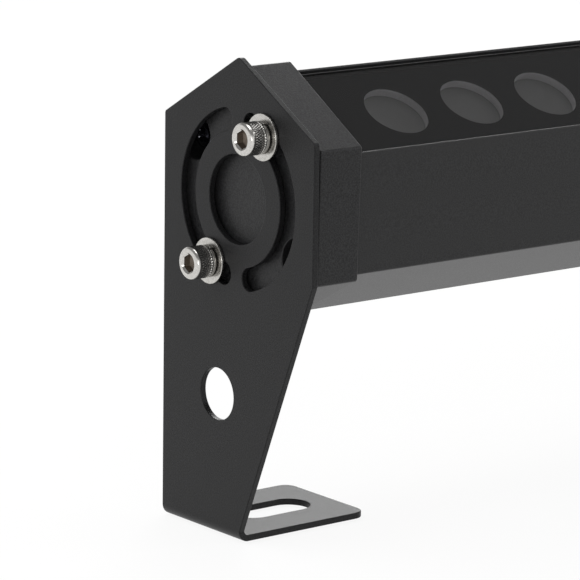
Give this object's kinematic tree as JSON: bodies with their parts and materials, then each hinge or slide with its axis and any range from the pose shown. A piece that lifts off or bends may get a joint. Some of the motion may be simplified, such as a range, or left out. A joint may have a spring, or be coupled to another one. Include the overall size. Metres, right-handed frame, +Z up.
{
  "type": "outdoor wall washer light",
  "caption": "Hexagonal aluminium bar light with a row of lensed windows under glass, tilting between two slotted feet brackets for washing a wall with light.",
  "frame": {"origin": "midway between the two anchor slots, on the surface that the two feet are bolted to", "axes": "+X along the lamp bar towards the cable gland end, +Z up, -Y to the front, the side that the glass faces"},
  "size_m": [0.6305, 0.072, 0.1466],
  "materials": {
    "coated_steel": "matte black powder coat, fine texture",
    "coated_aluminium": "matte black powder coat, fine texture",
    "stainless": "bright stainless steel",
    "black_oxide": "black oxide, satin",
    "silicone": "matte black silicone",
    "tempered_glass": "clear tempered glass, smooth",
    "black_plastic": "moulded black plastic, fine matte",
    "lens_acrylic": "clear moulded acrylic with a fine stippled top",
    "phosphor": "yellow phosphor under a clear dome",
    "white_board": "white solder mask on aluminium",
    "green_board": "green solder mask on glass fibre board",
    "steel_screw": "zinc plated steel",
    "ferrite": "dark grey ferrite, matte",
    "copper_wire": "enamelled copper wire",
    "capacitor_sleeve": "dark shrink sleeve",
    "capacitor_case": "moulded ochre case",
    "bare_aluminium": "mill finish",
    "wire_sleeve": "red and black wire insulation",
    "gland_nylon": "moulded black nylon",
    "brass": "nickel free turned brass"
  },
  "bodies": {
    "left_bracket": {"bracket_left": "coated_steel"},
    "lamp": {"end_cap_left": "coated_aluminium", "end_cap_right": "coated_aluminium", "cap_gasket_left": "silicone", "cap_gasket_right": "silicone", "cap_screws_left": "black_oxide", "cap_screws_right": "black_oxide", "pivot_bolts_left": "stainless", "pivot_bolts_right": "stainless", "spring_washers_left": "stainless", "spring_washers_right": "stainless", "flat_washers_left": "stainless", "flat_washers_right": "stainless", "housing_extrusion": "coated_aluminium", "front_glass": "tempered_glass", "glass_strips": "silicone", "glass_sealant": "silicone", "window_mask": "black_plastic", "lenses": "lens_acrylic", "lens_holders": "black_plastic", "led_packages": "phosphor", "led_board": "white_board", "board_screws": "steel_screw", "driver_board": "green_board", "transformer": "ferrite", "transformer_winding": "copper_wire", "capacitors": "capacitor_sleeve", "film_capacitor": "capacitor_case", "choke": "copper_wire", "heat_sink": "bare_aluminium", "transistors": "black_plastic", "terminal_block": "green_board", "lead_wires": "wire_sleeve", "gland_body": "gland_nylon", "gland_washer": "silicone", "gland_lock_nut": "brass", "gland_seal": "silicone", "gland_nut": "gland_nylon"},
    "right_bracket": {"bracket_right": "coated_steel"}
  },
  "joints": [
    {"name": "lamp_tilt", "type": "hinge", "parent": "left_bracket", "child": "lamp", "pos_m": [-0.3022, -0.0165, 0.1045], "axis": [1, 0, 0], "range_deg": [-16.5, 133.5]},
    {"name": "right_bracket_tilt", "type": "hinge", "parent": "lamp", "child": "right_bracket", "pos_m": [0.3022, -0.0165, 0.1045], "axis": [1, 0, 0], "range_deg": [-133.5, 16.5]}
  ],
  "couplings": [
    {"joint": "right_bracket_tilt", "follows": "lamp_tilt", "ratio": -1}
  ]
}
